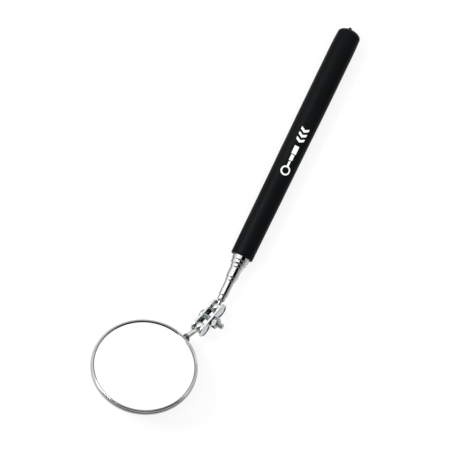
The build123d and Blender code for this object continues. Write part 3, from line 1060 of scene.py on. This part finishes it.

# %% [markdown]
# The tubes, the case and the stem are plated and polished. A polish is never perfect: drawn tubes
# keep faint lines along their length, and turned pieces have rings about their axis. The noise is
# stretched one way to make them, and moves roughness and bump by very little. The rolled edge
# beside the glass is darkened as painted shade, for the dark gap between the lip and the glass:
# the plating's colour there depends on the distance from the case's axis.

# %% Bright plating
tube_plate = Finish("drawn_plating", (0.76, 0.77, 0.76), 1.0, 0.1)
drawn = tube_plate.noise(2500, (0.02, 1, 1), detail=4)
tube_plate.roughness(drawn, 0.06, 0.13)
tube_plate.bump(drawn, 0.0015 * MM)
tube_plate.colour(tube_plate.noise(220), (0.70, 0.71, 0.70), (0.80, 0.81, 0.80))
wear(tube_plate, *tubes)


def turned_finish(name, axis, dark, light, low, high):
    """Polished metal with fine rings about an axis, in a colour between two tints."""
    finish = Finish(name, light, 1.0, low)
    rings = finish.noise(6000, (1, 0.05, 0.05), axis, detail=3)
    finish.roughness(rings, low, high)
    finish.bump(rings, 0.001 * MM)
    finish.colour(finish.noise(500), dark, light)
    return finish


stud_tints = (0.60, 0.60, 0.58), (0.74, 0.74, 0.72)
wear(turned_finish("turned_stud", rod.along, *stud_tints, 0.10, 0.18), stud)
stem_tints = (0.62, 0.62, 0.60), (0.76, 0.76, 0.75)
wear(turned_finish("turned_stem", stem.along, *stem_tints, 0.08, 0.15), mirror_stem)
ball_tints = (0.72, 0.70, 0.66), (0.84, 0.82, 0.78)
wear(turned_finish("ball_polish_rod", rod.along, *ball_tints, 0.05, 0.1), rod_ball)
wear(turned_finish("ball_polish_mirror", stem.along, *ball_tints, 0.05, 0.1), mirror_ball)

case_plate = Finish("rolled_plating", (0.62, 0.63, 0.63), 1.0, 0.1)
case_plate.roughness(case_plate.noise(900, detail=5), 0.07, 0.14)
case_plate.bump(case_plate.noise(250), 0.004 * MM)
case_plate.colour(case_plate.noise(120), (0.60, 0.61, 0.61), (0.72, 0.73, 0.73))
# Painted shade: inward of the bead the case falls to 0.3 of its colour, rising to full over 0.5 mm.
painted_shade_radius = case_radius - bead_rise
case_plate.paint_shade(case_plate.from_axis(case.origin, case.up), 0.3, painted_shade_radius, painted_shade_radius + 0.5 * MM)
wear(case_plate, mirror_case)

# %% [markdown]
# The clamp's plates and fasteners are zinc plated, which is bluish and less sharp than chrome. The
# press and the tumbling barrel leave small dents and cloudy patches. The mirror is silver behind
# clear glass: almost no roughness, a trace of green, and a coat for the glass's own face. The
# shims, the backing disc and the end plug are the frame's own nodes and only need a finish.

# %% Zinc, silvered glass and the rest
def tumbled_finish(name, dark, light, low, high, dents):
    """Metal from the tumbling barrel: cloudy in colour and gloss, with shallow dents."""
    finish = Finish(name, light, 1.0, low)
    finish.colour(finish.noise(420, detail=4), dark, light)
    finish.roughness(finish.noise(700, detail=4), low, high)
    finish.bump(finish.noise(1300, detail=3), dents)
    return finish


plate_tints = (0.76, 0.80, 0.82), (0.90, 0.93, 0.95)
wear(tumbled_finish("plate_zinc", *plate_tints, 0.14, 0.26, 0.01 * MM), *plates)
bolt_tints = (0.44, 0.48, 0.47), (0.66, 0.70, 0.69)
wear(tumbled_finish("bolt_zinc", *bolt_tints, 0.16, 0.3, 0.006 * MM), screw, nut, rivets)
# The washer is black-oxide spring steel, made darker still as painted shade for the gap between plate and nut.
oxide_and_shade_tints = (0.035, 0.038, 0.04), (0.07, 0.075, 0.08)
wear(tumbled_finish("spring_steel", *oxide_and_shade_tints, 0.3, 0.45, 0.006 * MM), washer)
strip_tints = (0.10, 0.10, 0.095), (0.22, 0.22, 0.21)
wear(tumbled_finish("bracket_strip", *strip_tints, 0.25, 0.4, 0.01 * MM), bracket)

face_coat = {"Coat_Weight": 1.0, "Coat_Roughness": 0.0}
silver = Finish("silvered_glass", (0.93, 0.95, 0.94), 1.0, 0.012, **face_coat)
silver.colour(silver.noise(40), (0.925, 0.945, 0.938), (0.945, 0.955, 0.95))
silver.bump(silver.noise(25, detail=1), 0.0006 * MM)
wear(silver, glass)

shims = [node for name, node in frame["nodes"].items() if "shim" in name]
brass_tints = (0.55, 0.38, 0.14), (0.78, 0.60, 0.28)
wear(tumbled_finish("shim_brass", *brass_tints, 0.2, 0.34, 0.004 * MM), *shims)
plug_tints = (0.42, 0.42, 0.41), (0.58, 0.58, 0.57)
plug_steel = turned_finish("plug_steel", handle.along, *plug_tints, 0.2, 0.3)
wear(plug_steel, frame["nodes"]["handle_end_plug"])
card = Finish("backing_card", (0.33, 0.28, 0.2), 0.0, 0.9)
card.colour(card.noise(900, detail=6), (0.24, 0.2, 0.14), (0.42, 0.36, 0.27))
card.bump(card.noise(3000, detail=4), 0.03 * MM)
wear(card, frame["nodes"]["backing_disc"])

# %% [markdown]
# ## Light
# The tool lies on a pale table in a white tent. Shiny metal shows what is around it, so the tent
# needs something dark in it. A narrow black cloth overhead puts the dark line down each tube, grey
# cloths in front and at the side shade the rolled rim and the steps of the tubes, and strips on the
# table stand for the tool's own shadow. All are seen in reflections only. The table is two planes:
# the one that is looked at is almost white, and the one under it is what metal reflects. A square
# soft box shines from the upper left of the picture.

# %% Table, cloths and strips
tent_radius = 0.9
table_half = 3.0
white_drop = 0.2 * MM
strip_drop = 0.3 * MM
grey_drop = 0.4 * MM
key_from = np.array([-0.55, 0.35, 0.76])
key_distance = 1.2
key_side = 0.5
key_power = 9.0


def glowing(name, level, scatter=0.0, colour=(1, 1, 1)):
    """A plain surface that gives off light at a level and scatters a share of what it gets."""
    base = [part * scatter for part in colour]
    own = {"Emission_Color": (*colour, 1), "Emission_Strength": level}
    return Finish(name, base, 0.0, 1.0, Specular_IOR_Level=0.0, **own).material


def gloss_only(thing):
    """Leaves a stage piece visible to reflections only."""
    for way in ("camera", "diffuse", "shadow", "transmission"):
        setattr(thing, f"visible_{way}", False)


def tent_patch(name, from_handle, from_up, level):
    """A patch of a ball about the tool: the point at angle a from the handle's direction, rolled by
    b from upright, is radius * (cos a, sin a sin b, sin a cos b)."""
    a = np.radians(np.linspace(*from_handle, 25))[:, None]
    b = np.radians(np.linspace(*from_up, 25))
    x = np.cos(a) + 0 * b
    local = np.stack([x, np.sin(a) * np.sin(b), np.sin(a) * np.cos(b)], axis=-1) * tent_radius
    patch = surface(name, rod.place(local), around=False)
    patch.data.materials.append(glowing(name, level))
    gloss_only(patch)


def level_piece(name, corners, drop, material):
    """A flat four-cornered stage piece, a little lower than the tool."""
    mesh = bpy.data.meshes.new(name)
    mesh.from_pydata([(x, y, cad_low.z - drop) for x, y in corners], [], [(0, 1, 2, 3)])
    mesh.materials.append(material)
    return added(name, mesh)


def shade(name, start, end, width, level):
    """A dark strip on the table between two points in millimetres: what the metal would reflect of
    the tool's own shadow."""
    start, end = np.array(start) * MM, np.array(end) * MM
    half = unit((end - start)[::-1] * (-1, 1)) * width / 2 * MM
    corners = [start - half, end - half, end + half, start + half]
    gloss_only(level_piece(name, corners, strip_drop, glowing(name, level)))


square = np.array([(-1, -1), (1, -1), (1, 1), (-1, 1)]) * table_half
white_table = level_piece("table", square, white_drop, glowing("table_white", 0.72, 0.27))
white_table.visible_glossy = False
table_grey = glowing("table_grey", 0.72, colour=(0.98, 1, 1))
gloss_only(level_piece("table_reflected", square, grey_drop, table_grey))
tent_patch("cloth_strip", (92.5, 110), (-6, 47), 0.0)
tent_patch("cloth_over", (0, 92.5), (-6, 47), 0.12)
tent_patch("cloth_front", (0, 91), (-62, -6), 0.12)
tent_patch("cloth_low", (0, 60), (-86, -62), 0.2)
tent_patch("cloth_corner", (0, 92.5), (47, 89), 0.2)
tent_patch("cloth_side", (92.5, 150), (47, 89), 0.36)
shade("shade_tubes", (70, 7.5), (133, 7.5), 8, 0.15)
shade("shade_left", (95, -17), (148, -17), 12, 0.22)
shade("shade_clamp", (132.6, 10.5), (161.0, 2.0), 12, 0.0)

world = bpy.data.worlds.new("tent")
bpy.context.scene.world = world
world.use_nodes = True
sky = world.node_tree.nodes["Background"]
sky.inputs["Color"].default_value = (1.0, 1.0, 1.0, 1)
sky.inputs["Strength"].default_value = 1.08

key_light = bpy.data.lights.new("key", "AREA")
key_light.shape = "RECTANGLE"
key_light.size = key_side
key_light.size_y = key_side
key_light.energy = key_power
toward = unit(key_from @ picture)
key = added("key", key_light)
key.location = Vector(rod_ball_at + toward * key_distance)
key.rotation_mode = "QUATERNION"
key.rotation_quaternion = Vector(toward).to_track_quat("Z", "Y")
bpy.context.scene.view_settings.view_transform = "Standard"
print("stage: two tables, six cloths, three strips and one soft box")
